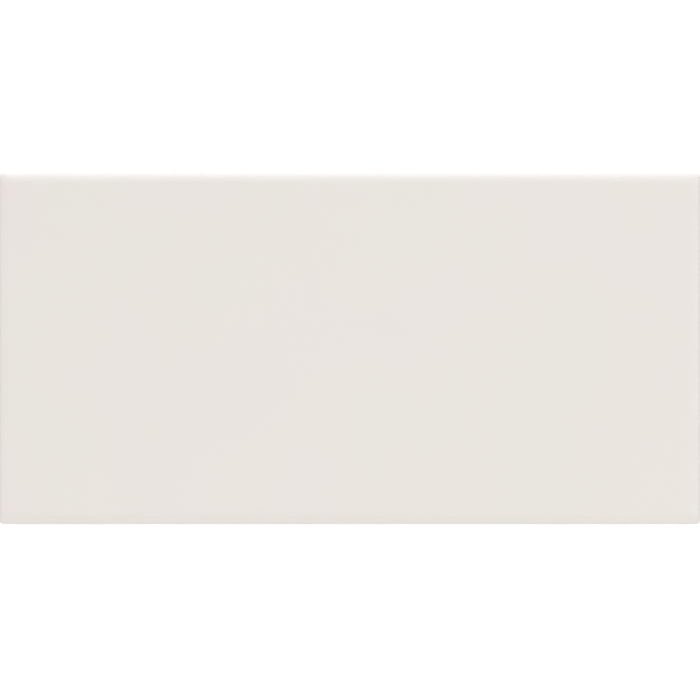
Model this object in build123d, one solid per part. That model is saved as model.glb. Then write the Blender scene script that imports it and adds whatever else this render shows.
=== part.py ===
"""Porcelain tile, 200 x 100 mm: one dry-pressed, glazed and fired piece.

The tile lies on its back with the glazed face up. X runs along its length, Y across
its width and Z through its thickness, and the origin is the centre of the back plane.
"""

import os
from math import cos, floor, radians, sin, tan

from build123d import *

# Driving dimensions in millimetres and degrees
face_length = 200.0      # longest outline, where the sides meet the rolled edge
face_width = 100.0
thickness = 8.0          # back plane to glazed face
corner_radius = 1.2      # upright corners and the soft ridges that run in from them

# Rolled edge of the face: a quarter ellipse in section
roll_width = 2.8         # how far the roll reaches in over the face
roll_drop = 1.2          # how far the roll falls from the face to the sides
roll_steps = 8           # outlines that carry the roll, from the sides to the face

# Pressed sides
side_draft = 2.0         # sides lean in towards the back, to release from the die
back_bevel = 0.6         # 45 degree bevel round the back, against chipping

# Keyed back: square pockets between raised ribs, which the bedding mortar fills
key_pitch = 12.5         # pocket to pocket
key_rib = 3.0            # rib between two pockets, at the back plane
key_depth = 0.6
key_draft = 30.0         # pocket walls lean out, to release from the punch
key_margin = 5.0         # least land between the pockets and the bevel

# Derived places
side_top = thickness - roll_drop
bevel_inset = (side_top - back_bevel) * tan(radians(side_draft))
back_inset = bevel_inset + back_bevel
pocket_size = key_pitch - key_rib


def outline(inset, height):
    """The tile's plan at a height: the face outline taken in evenly on all four sides."""
    plan = RectangleRounded(face_length - 2 * inset, face_width - 2 * inset, corner_radius)
    return Plane.XY.offset(height) * plan


def pressed_sides():
    """The body below the roll: a bevel at the back, then sides that lean outwards."""
    levels = [(back_inset, 0.0), (bevel_inset, back_bevel), (0.0, side_top)]
    return loft([outline(inset, height) for inset, height in levels], ruled=True)


def rolled_edge():
    """The cap above the sides, whose edge follows a quarter ellipse up to the flat face."""
    angles = [radians(90.0 * step / roll_steps) for step in range(roll_steps + 1)]
    levels = [(roll_width * (1 - cos(a)), side_top + roll_drop * sin(a)) for a in angles]
    return loft([outline(inset, height) for inset, height in levels])


def key_count(span):
    """How many pockets fit along one side of the back, with the least land at both ends."""
    room = span - 2 * (back_inset + key_margin)
    return floor((room + key_rib) / key_pitch)


def key_pockets():
    """The pockets that are pressed into the back, centred: cut pyramids whose walls lean outwards."""
    pocket = extrude(Rectangle(pocket_size, pocket_size), key_depth, taper=key_draft)
    return GridLocations(key_pitch, key_pitch, key_count(face_length), key_count(face_width)) * pocket


porcelain_tile = pressed_sides() + rolled_edge() - key_pockets()

os.makedirs("parts", exist_ok=True)
export_step(porcelain_tile, "parts/porcelain_tile.step")
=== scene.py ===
"""Porcelain tile, 200 x 100 mm, glazed face up: its fired surface, the studio light and the camera.

Sizes are in millimetres and become metres where a mesh, a lamp or the camera is made. X runs along the
tile's length, Y across its width, and Z from the back plane up to the glazed face.
"""

from math import cos, pi, radians, sin, tan

import bpy
import numpy as np
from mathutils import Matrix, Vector


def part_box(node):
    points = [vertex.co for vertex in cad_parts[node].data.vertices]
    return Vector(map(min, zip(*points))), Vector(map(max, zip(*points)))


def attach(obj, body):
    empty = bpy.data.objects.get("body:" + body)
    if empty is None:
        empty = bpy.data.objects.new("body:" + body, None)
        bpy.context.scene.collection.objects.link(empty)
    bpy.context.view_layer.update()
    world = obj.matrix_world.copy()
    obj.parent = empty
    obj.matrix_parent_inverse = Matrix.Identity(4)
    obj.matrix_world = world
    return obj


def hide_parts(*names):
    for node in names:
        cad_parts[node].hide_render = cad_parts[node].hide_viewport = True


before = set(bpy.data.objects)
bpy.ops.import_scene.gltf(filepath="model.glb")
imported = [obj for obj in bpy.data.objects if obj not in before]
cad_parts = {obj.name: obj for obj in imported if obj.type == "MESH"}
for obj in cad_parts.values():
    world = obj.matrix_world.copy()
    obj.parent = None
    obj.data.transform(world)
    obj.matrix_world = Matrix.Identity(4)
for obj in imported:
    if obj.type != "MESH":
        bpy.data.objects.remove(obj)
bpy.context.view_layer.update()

MM = 0.001               # one millimetre in metres
random = np.random.default_rng(7)

# The tile's outer sizes, from the frame
tile_low, tile_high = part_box("porcelain_tile")
length, width, thickness = (tile_high - tile_low) / MM
half_length = length / 2
half_width = width / 2

# The pressed section: a rolled face edge, leaning sides and a bevelled back
corner_radius = 1.2      # upright corners and the soft ridges that run in from them
corner_fade = 5.0        # where the corners of the plan's rings are square again, in from the outline
square_share = 1e-6      # share of the corner radius that stands for a square corner
roll_width = 2.8
roll_drop = 1.2
roll_steps = 10          # lines that carry the roll
side_draft = 2.0         # degrees
back_bevel = 0.6

# The keyed back: square pockets between ribs
key_pitch = 12.5
key_rib = 3.0
key_depth = 0.6
key_draft = 30.0         # degrees
key_margin = 5.0
key_soft = 0.15          # how far each pocket's rims are rounded
wall_steps = 4           # lines that carry a pocket's wall
longest_step = 1.6       # widest gap between two lines of the grid
crease_angle = 50.0      # degrees: a sharper edge than this stays crisp

# The glaze, which has long low waves and ends on the sides in a soft wandering lip
wave_depth = 0.05
wave_shortest = 18.0
wave_longest = 60.0
wave_count = 14
glaze_skirt = 1.7        # how far it runs down below the roll, on average
glaze_coat = 0.15        # how thick it stands over the bare body
glaze_lip = 0.3          # height of the lip
lip_waves = np.array([4, 9, 17, 38, 71])             # whole waves round the tile
lip_heights = np.array([0.16, 0.14, 0.12, 0.08, 0.05])
skirt_shares = np.array([0.3, 0.65, 1.0])            # rows of the glazed side, from the roll to the lip
lip_turns = np.radians([30.0, 60.0, 90.0])           # rows of the lip
body_shares = np.array([0.97, 0.7, 0.35, 0.03])      # rows of the bare side, from the bevel to the lip
bevel_shares = np.array([0.92, 0.12])                # rows of the bevel, from the back plane

# Derived places
side_top = thickness - roll_drop
lean = tan(radians(side_draft))
back_inset = (side_top - back_bevel) * lean + back_bevel + glaze_coat
wall_run = key_depth * tan(radians(key_draft)) + 2 * key_soft
mouth_reach = (key_pitch - key_rib) / 2 + key_soft
glaze_end = side_top - glaze_skirt

# The glaze's finish
warm_ivory = "#EAE4DE"
cool_ivory = "#E9E5DE"
thin_ivory = "#DFD6C9"
cloud_size = 40.0        # where the coat runs thicker or thinner
arris_least = 0.2        # how far it draws thin to either side of the arris, where roll and sides meet
arris_most = 0.6
sheen_size = 25.0        # smoother and duller patches
peel_size = 2.4          # orange peel
peel_height = 0.006
glaze_smoothest = 0.29   # roughness
glaze_dullest = 0.34
ceramic_ior = 1.5

# The bare body's finish
dark_clay = "#CCC4B6"
light_clay = "#DAD3C7"
speck_brown = "#A79B89"
wash_white = "#EFECE6"
drop_ivory = "#E6E1D9"
grain_size = 0.5         # granules are about 0.3 mm wide, drawn coarser so that they show
grain_bend = 0.6         # how far the grain bends the outlines of specks and drops
speck_spacing = 1.8
wash_size = 2.5          # streaks of kiln wash
wash_stretch = 0.35      # their width over their length, along the tile
wash_depth = 0.25        # how far up from the ribs the wash reaches
drop_spacing = 0.6       # stray drops of glaze
drop_fall = 3.0          # how far below the glaze the last of them lie
drag_size = 0.6          # drag marks of the die
drag_stretch = 0.06      # their width over their height
grain_height = 0.03
body_dullness = 0.82     # roughness
drop_dullness = 0.4

# Two levels that nearly all of a noise lies between
noise_low = 0.3
noise_high = 0.7

# Numbers of a colour mix's sockets
mix_share = 0
mix_under = 6
mix_over = 7
mixed = 2

# The studio: light levels are shares of the light that shows a colour as it is written
room_level = 0.32
floor_level = 0.9
floor_lift = 0.29        # added to the floor's own light for the eye alone
floor_reach = 4000.0
floor_gap = 0.02         # keeps the floor clear of the ribs it carries
lamp_distance = 1500.0
plain_light = "#FFFFFF"
daylight = "#EFF5FF"

# The camera and the photograph
photo_side = 700         # pixels
tile_columns = 701.5     # the tile's length in the photograph, which cuts a hair off both ends
tile_row = 348.7         # the tile's middle in the photograph, in pixels from the top
focal_length = 200.0
sensor = 36.0


def smooth_step(share):
    """0 below 0, 1 above 1 and the cubic 3 t^2 - 2 t^3 between them."""
    share = np.clip(share, 0.0, 1.0)
    return share * share * (3 - 2 * share)


def pocket_middles(span):
    """Middles of the pockets that fit along one side of the back, evenly spaced about its middle."""
    room = span - 2 * (back_inset - glaze_coat + key_margin)
    count = int((room + key_rib) // key_pitch)
    return (np.arange(count) - (count - 1) / 2) * key_pitch


def pocket_profile(lines, span):
    """Share of a pocket's depth along one side: 0 on ribs, 1 on floors, a smooth step on the walls."""
    from_middle = np.abs(lines[:, None] - pocket_middles(span)).min(axis=1)
    return smooth_step((mouth_reach - from_middle) / wall_run)


def grid_lines(span):
    """Places of the grid's lines along one side of the tile.

    They lie on the roll at equal turns of its quarter ellipse, on each pocket's walls at equal steps, and
    in even steps between those.
    """
    turns = np.linspace(0.0, pi / 2, roll_steps + 1)
    rolled = span / 2 - roll_width * (1 - np.cos(turns))
    from_middle = mouth_reach - wall_run * np.linspace(0.0, 1.0, wall_steps)
    walls = pocket_middles(span)[:, None] + np.concatenate([-from_middle, from_middle])
    fixed = np.sort(np.concatenate([-rolled, walls.ravel(), rolled]))
    gaps = np.diff(fixed)
    steps = np.ceil(gaps / longest_step).astype(int)
    step_number = np.arange(steps.sum()) - np.repeat(np.cumsum(steps) - steps, steps)
    lines = np.repeat(fixed[:-1], steps) + step_number * np.repeat(gaps / steps, steps)
    return np.append(lines, fixed[-1])


def rounded_plan(x, y):
    """Plan places with rounded corners, and how far each one's ring is set in from the outline.

    A place lies on a square-cornered ring. Where it is nearer to the ring's corner than the corner radius,
    it moves onto an arc of that radius, and its straight distance from the corner becomes its turn along
    the arc.
    """
    from_ends = half_length - np.abs(x)
    from_sides = half_width - np.abs(y)
    inset = np.minimum(from_ends, from_sides)
    past_corner = np.abs(from_ends - from_sides)
    radius = corner_radius * np.clip((corner_fade - inset) / (corner_fade - roll_width), square_share, 1.0)
    turn = pi / 4 * (1 - np.clip(past_corner / radius, 0.0, 1.0))
    near = inset + radius * (1 - np.cos(turn))
    far = np.where(past_corner < radius, inset + radius * (1 - np.sin(turn)), inset + past_corner)
    at_end = from_ends < from_sides
    round_x = np.sign(x) * (half_length - np.where(at_end, near, far))
    round_y = np.sign(y) * (half_width - np.where(at_end, far, near))
    return round_x, round_y, inset


def low_waves(x, y):
    """Long low waves as shares from 0 to 1: a sum of equally steep plane waves on random headings."""
    headings = random.uniform(0.0, pi, wave_count)
    lengths = random.uniform(wave_shortest, wave_longest, wave_count)
    starts = random.uniform(0.0, 2 * pi, wave_count)
    along = np.multiply.outer(x, np.cos(headings)) + np.multiply.outer(y, np.sin(headings))
    height = (lengths * np.sin(2 * pi * along / lengths + starts)).sum(axis=-1)
    return (height - height.min()) / np.ptp(height)


def glazed_face(x, y):
    """The face: flat but for its low waves, falling at the edge by a quarter ellipse to the sides' top."""
    plan_x, plan_y, inset = rounded_plan(x, y)
    reach = np.clip(1 - inset / roll_width, 0.0, 1.0)
    height = side_top + roll_drop * np.sqrt(1 - reach**2)
    height -= wave_depth * low_waves(plan_x, plan_y) * smooth_step(1 - reach)
    return np.stack([plan_x, plan_y, height], axis=-1)


def glaze_line(x, y):
    """Height where the glaze ends on the sides: whole waves round the tile, so the line meets itself."""
    steps = np.hypot(np.diff(x, append=x[0]), np.diff(y, append=y[0]))
    turn = 2 * pi * (np.cumsum(steps) - steps) / steps.sum()
    starts = random.uniform(0.0, 2 * pi, len(lip_waves))
    return glaze_end + (lip_heights * np.sin(np.outer(turn, lip_waves) + starts)).sum(axis=1)


def pressed_sides(x, y):
    """The sides: a profile carried round the outline, in rows from under the roll down to the bevel.

    The glaze runs down the leaning side and ends in a lip, a quarter ellipse that falls back to the bare
    body. The body goes on below it, then turns in at 45 degrees at the bevel. Also gives the number of
    glazed rows.
    """
    line = glaze_line(x, y)
    skirt = side_top - np.outer(skirt_shares, side_top - glaze_lip - line)
    lip = line + glaze_lip * (1 - np.sin(lip_turns))[:, None]
    body = back_bevel + np.outer(body_shares, line - back_bevel)
    bevel = np.outer(bevel_shares, np.full_like(line, back_bevel))
    height = np.vstack([skirt, lip, body, bevel])
    bare = np.ones(len(body) + len(bevel))
    coat_missing = glaze_coat * np.concatenate([np.zeros(len(skirt)), 1 - np.cos(lip_turns), bare])
    leaning = (side_top - np.maximum(height, back_bevel)) * lean
    inset = leaning + np.maximum(back_bevel - height, 0.0) + coat_missing[:, None]
    plan_x, plan_y, _ = rounded_plan(x * (1 - inset / half_length), y * (1 - inset / half_width))
    return np.stack([plan_x, plan_y, height], axis=-1), len(skirt) + len(lip)


def drawn_in(lines, span):
    """The grid's lines on the back: as on the face over the pockets, then drawn in evenly to its outline."""
    pockets_end = pocket_middles(span)[-1] + mouth_reach
    face_places = [0.0, pockets_end, span / 2]
    back_places = [0.0, pockets_end, span / 2 - back_inset]
    return np.sign(lines) * np.interp(np.abs(lines), face_places, back_places)


def keyed_back(x_lines, y_lines):
    """The back: flat ribs and land, and pockets whose depth is one side's profile times the other's."""
    x, y = np.meshgrid(drawn_in(x_lines, length), drawn_in(y_lines, width), indexing="ij")
    plan_x, plan_y, _ = rounded_plan(x, y)
    depth = np.outer(pocket_profile(x_lines, length), pocket_profile(y_lines, width))
    return np.stack([plan_x, plan_y, key_depth * depth], axis=-1)


def rim(grid):
    """A grid's outer places in order, anticlockwise seen from above."""
    return np.concatenate([grid[:, 0], grid[-1, 1:], grid[-2::-1, -1], grid[0, -2:0:-1]])


def quads(numbers):
    """Four-cornered faces between neighbours in a grid of vertex numbers."""
    corners = [numbers[:-1, :-1], numbers[1:, :-1], numbers[1:, 1:], numbers[:-1, 1:]]
    return np.stack(corners, axis=-1).reshape(-1, 4)


def fired_tile(glaze, body):
    """The whole tile as one closed mesh: glazed face, sides carried round its rim, and keyed back."""
    x_lines = grid_lines(length)
    y_lines = grid_lines(width)
    x, y = np.meshgrid(x_lines, y_lines, indexing="ij")
    face = glazed_face(x, y)
    sides, glazed_rows = pressed_sides(rim(x), rim(y))
    back = keyed_back(x_lines, y_lines)

    face_numbers = np.arange(x.size).reshape(x.shape)
    side_numbers = x.size + np.arange(sides[..., 0].size).reshape(sides.shape[:2])
    back_numbers = face_numbers + x.size + side_numbers.size
    rows = np.vstack([rim(face_numbers), side_numbers, rim(back_numbers)])
    rows = np.hstack([rows, rows[:, :1]])
    glazed = np.concatenate([quads(face_numbers), quads(rows[:glazed_rows + 1])])
    bare = np.concatenate([quads(rows[glazed_rows:]), quads(back_numbers.T)])

    places = np.concatenate([face.reshape(-1, 3), sides.reshape(-1, 3), back.reshape(-1, 3)])
    mesh = bpy.data.meshes.new("fired_tile")
    mesh.from_pydata(places * MM, [], np.concatenate([glazed, bare]).tolist())
    mesh.materials.append(glaze)
    mesh.materials.append(body)
    mesh.polygons.foreach_set("material_index", np.repeat([0, 1], [len(glazed), len(bare)]))
    mesh.shade_smooth()
    mesh.set_sharp_from_angle(angle=radians(crease_angle))
    mesh.update()
    piece = bpy.data.objects.new("fired_tile", mesh)
    bpy.context.scene.collection.objects.link(piece)
    return piece


def linear(hex_colour):
    """An sRGB hex colour as the linear colour that shaders take, with full alpha."""
    srgb = np.array([int(hex_colour[i:i + 2], 16) for i in (1, 3, 5)]) / 255
    return (*np.where(srgb <= 0.04045, srgb / 12.92, ((srgb + 0.055) / 1.055) ** 2.4), 1.0)


def add_node(tree, kind, inputs=None, **settings):
    """Adds a shader node: settings become its properties, and an input takes a value or an output's link."""
    node = tree.nodes.new(kind)
    for name, value in settings.items():
        setattr(node, name, value)
    for name, value in (inputs or {}).items():
        if isinstance(value, bpy.types.NodeSocket):
            tree.links.new(value, node.inputs[name])
        else:
            node.inputs[name].default_value = value
    return node


def new_material(name):
    """An empty material with nodes, and its node tree."""
    material = bpy.data.materials.new(name)
    material.use_nodes = True
    material.node_tree.nodes.clear()
    return material, material.node_tree


def per_metre(size):
    """Scale of a texture whose features are this many millimetres wide."""
    return 1 / (size * MM)


def glaze_colour(tree, place):
    """The glaze's colour: ivory in faint clouds, and warmer in a wandering line along the arris."""
    clouds = add_node(tree, "ShaderNodeTexNoise", {
        "Vector": place, "Scale": per_metre(cloud_size), "Detail": 3.0, "Roughness": 0.5})
    cloud_share = add_node(tree, "ShaderNodeMapRange", {
        "Value": clouds.outputs["Fac"], "From Min": noise_low, "From Max": noise_high})
    ivory = add_node(tree, "ShaderNodeMix", {
        mix_share: cloud_share.outputs["Result"], mix_under: linear(warm_ivory),
        mix_over: linear(cool_ivory)}, data_type="RGBA")

    height = add_node(tree, "ShaderNodeSeparateXYZ", {"Vector": place}).outputs["Z"]
    over_arris = add_node(tree, "ShaderNodeMath", {0: height, 1: side_top * MM}, operation="SUBTRACT")
    from_arris = add_node(tree, "ShaderNodeMath", {0: over_arris.outputs["Value"]}, operation="ABSOLUTE")
    thin_reach = add_node(tree, "ShaderNodeMapRange", {
        "Value": clouds.outputs["Fac"], "From Min": 0.35, "From Max": 0.65,
        "To Min": arris_least * MM, "To Max": arris_most * MM})
    thin = add_node(tree, "ShaderNodeMapRange", {
        "Value": from_arris.outputs["Value"], "From Min": thin_reach.outputs["Result"], "From Max": 0.0,
        "To Max": 0.7}, interpolation_type="SMOOTHSTEP")
    colour = add_node(tree, "ShaderNodeMix", {
        mix_share: thin.outputs["Result"], mix_under: ivory.outputs[mixed],
        mix_over: linear(thin_ivory)}, data_type="RGBA")
    return colour.outputs[mixed]


def satin_glaze():
    """Satin glaze, sprayed on the pressed tile and fired with it.

    It gives the eye an even ivory white with a soft sheen: a hair cloudy where the coat runs thicker or
    thinner, faintly orange-peeled, and a shade warmer along the arris, where it draws thin as it melts.
    """
    material, tree = new_material("satin_glaze_sprayed_and_fired")
    place = add_node(tree, "ShaderNodeTexCoord").outputs["Object"]
    sheen = add_node(tree, "ShaderNodeTexNoise", {
        "Vector": place, "Scale": per_metre(sheen_size), "Detail": 2.0, "Roughness": 0.5})
    gloss = add_node(tree, "ShaderNodeMapRange", {
        "Value": sheen.outputs["Fac"], "From Min": noise_low, "From Max": noise_high,
        "To Min": glaze_smoothest, "To Max": glaze_dullest})
    peel = add_node(tree, "ShaderNodeTexNoise", {
        "Vector": place, "Scale": per_metre(peel_size), "Detail": 1.5, "Roughness": 0.4})
    relief = add_node(tree, "ShaderNodeBump", {
        "Height": peel.outputs["Fac"], "Strength": 1.0, "Distance": peel_height * MM})
    shader = add_node(tree, "ShaderNodeBsdfPrincipled", {
        "Base Color": glaze_colour(tree, place), "Roughness": gloss.outputs["Result"], "IOR": ceramic_ior,
        "Normal": relief.outputs["Normal"]})
    add_node(tree, "ShaderNodeOutputMaterial", {"Surface": shader.outputs["BSDF"]})
    return material


def speckled_clay(tree, grain, bent):
    """The body's own colour: grain from dark to light clay, and darker specks at the middles of cells."""
    grain_share = add_node(tree, "ShaderNodeMapRange", {
        "Value": grain, "From Min": noise_low, "From Max": noise_high})
    clay = add_node(tree, "ShaderNodeMix", {
        mix_share: grain_share.outputs["Result"], mix_under: linear(dark_clay),
        mix_over: linear(light_clay)}, data_type="RGBA")
    cells = add_node(tree, "ShaderNodeTexVoronoi", {"Vector": bent, "Scale": per_metre(speck_spacing)})
    speck = add_node(tree, "ShaderNodeMapRange", {
        "Value": cells.outputs["Distance"], "From Min": 0.2, "From Max": 0.1, "To Max": 0.5})
    speckled = add_node(tree, "ShaderNodeMix", {
        mix_share: speck.outputs["Result"], mix_under: clay.outputs[mixed],
        mix_over: linear(speck_brown)}, data_type="RGBA")
    return speckled.outputs[mixed]


def kiln_wash(tree, place, height, under):
    """White wash over a colour, in streaks along the tile on the ribs, which stood on the kiln's rollers."""
    rib_top = add_node(tree, "ShaderNodeMapRange", {
        "Value": height, "From Min": wash_depth * MM, "From Max": 0.0})
    along = add_node(tree, "ShaderNodeMapping", {"Vector": place, "Scale": (wash_stretch, 1.0, 1.0)})
    brushed = add_node(tree, "ShaderNodeTexNoise", {
        "Vector": along.outputs["Vector"], "Scale": per_metre(wash_size), "Detail": 4.0, "Roughness": 0.6})
    caught = add_node(tree, "ShaderNodeMapRange", {
        "Value": brushed.outputs["Fac"], "From Min": 0.4, "From Max": 0.6, "To Max": 0.85})
    wash = add_node(tree, "ShaderNodeMath", {
        0: rib_top.outputs["Result"], 1: caught.outputs["Result"]}, operation="MULTIPLY")
    washed = add_node(tree, "ShaderNodeMix", {
        mix_share: wash.outputs["Value"], mix_under: under, mix_over: linear(wash_white)}, data_type="RGBA")
    return washed.outputs[mixed]


def glaze_drops(tree, height, bent):
    """Share of stray glaze drops: round the middles of cells, ever smaller further below the glaze."""
    cells = add_node(tree, "ShaderNodeTexVoronoi", {"Vector": bent, "Scale": per_metre(drop_spacing)})
    reach = add_node(tree, "ShaderNodeMapRange", {
        "Value": height, "From Min": (glaze_end - drop_fall) * MM, "From Max": glaze_end * MM,
        "To Max": 0.42})
    inside = add_node(tree, "ShaderNodeMath", {
        0: reach.outputs["Result"], 1: cells.outputs["Distance"]}, operation="SUBTRACT")
    drop = add_node(tree, "ShaderNodeMapRange", {"Value": inside.outputs["Value"], "From Max": 0.1})
    return drop.outputs["Result"]


def body_relief(tree, place, grain, drop):
    """The body's uneven surface: upright drag marks of the die, its grain and the raised drops."""
    upright = add_node(tree, "ShaderNodeMapping", {"Vector": place, "Scale": (1.0, 1.0, drag_stretch)})
    drag = add_node(tree, "ShaderNodeTexNoise", {
        "Vector": upright.outputs["Vector"], "Scale": per_metre(drag_size), "Detail": 2.0, "Roughness": 0.6})
    uneven = add_node(tree, "ShaderNodeMath", {0: drag.outputs["Fac"], 1: grain}, operation="ADD")
    raised = add_node(tree, "ShaderNodeMath", {0: uneven.outputs["Value"], 1: drop}, operation="ADD")
    relief = add_node(tree, "ShaderNodeBump", {
        "Height": raised.outputs["Value"], "Strength": 1.0, "Distance": grain_height * MM})
    return relief.outputs["Normal"]


def pressed_body():
    """Porcelain body, pressed from granules and fired bare.

    It gives the eye a dull, warm light grey with a fine grain and a few darker specks, upright drag marks
    from the die on the sides, stray drops of glaze under the lip, and streaks of white kiln wash on the
    ribs of the back.
    """
    material, tree = new_material("porcelain_body_pressed_and_fired")
    place = add_node(tree, "ShaderNodeTexCoord").outputs["Object"]
    height = add_node(tree, "ShaderNodeSeparateXYZ", {"Vector": place}).outputs["Z"]
    grain = add_node(tree, "ShaderNodeTexNoise", {
        "Vector": place, "Scale": per_metre(grain_size), "Detail": 2.0, "Roughness": 0.6})
    bent = add_node(tree, "ShaderNodeVectorMath", {
        0: grain.outputs["Color"], 1: [grain_bend * MM] * 3, 2: place}, operation="MULTIPLY_ADD")
    drop = glaze_drops(tree, height, bent.outputs["Vector"])
    clay = speckled_clay(tree, grain.outputs["Fac"], bent.outputs["Vector"])
    colour = add_node(tree, "ShaderNodeMix", {
        mix_share: drop, mix_under: kiln_wash(tree, place, height, clay),
        mix_over: linear(drop_ivory)}, data_type="RGBA")
    dullness = add_node(tree, "ShaderNodeMapRange", {
        "Value": drop, "To Min": body_dullness, "To Max": drop_dullness})
    shader = add_node(tree, "ShaderNodeBsdfPrincipled", {
        "Base Color": colour.outputs[mixed], "Roughness": dullness.outputs["Result"], "IOR": ceramic_ior,
        "Normal": body_relief(tree, place, grain.outputs["Fac"], drop)})
    add_node(tree, "ShaderNodeOutputMaterial", {"Surface": shader.outputs["BSDF"]})
    return material


def white_to_the_eye(tree):
    """1 for rays that show the background itself, straight or in a gloss, and 0 for other rays."""
    ray = add_node(tree, "ShaderNodeLightPath")
    glossy = add_node(tree, "ShaderNodeMath", {
        0: ray.outputs["Is Camera Ray"], 1: ray.outputs["Is Glossy Ray"]}, operation="MAXIMUM")
    seen = add_node(tree, "ShaderNodeMath", {
        0: glossy.outputs["Value"], 1: ray.outputs["Is Transmission Ray"]}, operation="MAXIMUM")
    return seen.outputs["Value"]


def white_room():
    """The world: even white light, which shows as plain white itself."""
    world = bpy.data.worlds.new("white_room")
    world.use_nodes = True
    tree = world.node_tree
    tree.nodes.clear()
    light = add_node(tree, "ShaderNodeBackground", {"Color": linear(plain_light), "Strength": room_level})
    white = add_node(tree, "ShaderNodeBackground", {"Color": linear(plain_light), "Strength": 1.0})
    both = add_node(tree, "ShaderNodeMixShader", {
        0: white_to_the_eye(tree), 1: light.outputs["Background"], 2: white.outputs["Background"]})
    add_node(tree, "ShaderNodeOutputWorld", {"Surface": both.outputs["Shader"]})
    bpy.context.scene.world = world


def white_floor():
    """A wide white floor: it takes the tile's shadow, and is lifted to white where it has none."""
    material, tree = new_material("white_floor")
    paper = add_node(tree, "ShaderNodeBsdfDiffuse", {"Color": (floor_level, floor_level, floor_level, 1.0)})
    lift = add_node(tree, "ShaderNodeMath", {0: white_to_the_eye(tree), 1: floor_lift}, operation="MULTIPLY")
    glow = add_node(tree, "ShaderNodeEmission", {
        "Color": linear(plain_light), "Strength": lift.outputs["Value"]})
    both = add_node(tree, "ShaderNodeAddShader", {0: paper.outputs["BSDF"], 1: glow.outputs["Emission"]})
    add_node(tree, "ShaderNodeOutputMaterial", {"Surface": both.outputs["Shader"]})
    corners = np.array([(-1, -1, 0), (1, -1, 0), (1, 1, 0), (-1, 1, 0)]) * floor_reach
    mesh = bpy.data.meshes.new("floor")
    mesh.from_pydata((corners - (0.0, 0.0, floor_gap)) * MM, [], [(0, 1, 2, 3)])
    mesh.materials.append(material)
    floor = bpy.data.objects.new("floor", mesh)
    bpy.context.scene.collection.objects.link(floor)


def softbox(name, heading, height, size, share, colour=plain_light):
    """An oblong lamp that faces the tile and gives its face this share of full light, with no glare.

    It stands at a heading from +X and a height over the floor, both in degrees. A lamp of power P at
    distance d and height e lights a white face to P sin(e) / (pi d)^2.
    """
    turn = radians(heading)
    rise = radians(height)
    place = Vector((cos(rise) * cos(turn), cos(rise) * sin(turn), sin(rise))) * lamp_distance * MM
    lamp = bpy.data.lights.new(name, "AREA")
    lamp.shape = "RECTANGLE"
    lamp.size, lamp.size_y = (side * MM for side in size)
    lamp.energy = share * (pi * place.length) ** 2 / sin(rise)
    lamp.color = linear(colour)[:3]
    holder = bpy.data.objects.new(name, lamp)
    holder.location = place
    holder.rotation_euler = place.to_track_quat("Z", "Y").to_euler()
    holder.visible_camera = False
    holder.visible_glossy = False
    bpy.context.scene.collection.objects.link(holder)


def camera_above():
    """A long lens straight above, which shows the tile as long and as high up as the photograph does."""
    lens = bpy.data.cameras.new("camera")
    lens.lens = focal_length
    lens.sensor_width = sensor
    camera = bpy.data.objects.new("camera", lens)
    pixel = length / tile_columns
    drop = (photo_side / 2 - tile_row) * pixel
    camera.location = Vector((0.0, -drop, side_top + photo_side * pixel * focal_length / sensor)) * MM
    bpy.context.scene.collection.objects.link(camera)
    bpy.context.scene.camera = camera


# The tile
tile = fired_tile(satin_glaze(), pressed_body())
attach(tile, "root")
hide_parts("porcelain_tile")

# The studio
white_room()
white_floor()
softbox("left_lamp", heading=180.0, height=42.0, size=(1000.0, 600.0), share=0.185)
softbox("right_lamp", heading=0.0, height=55.0, size=(1000.0, 600.0), share=0.325)
softbox("fill", heading=275.0, height=50.0, size=(1000.0, 300.0), share=0.163)
softbox("window", heading=90.0, height=5.0, size=(1000.0, 260.0), share=0.061, colour=daylight)
camera_above()
bpy.context.scene.view_settings.view_transform = "Standard"
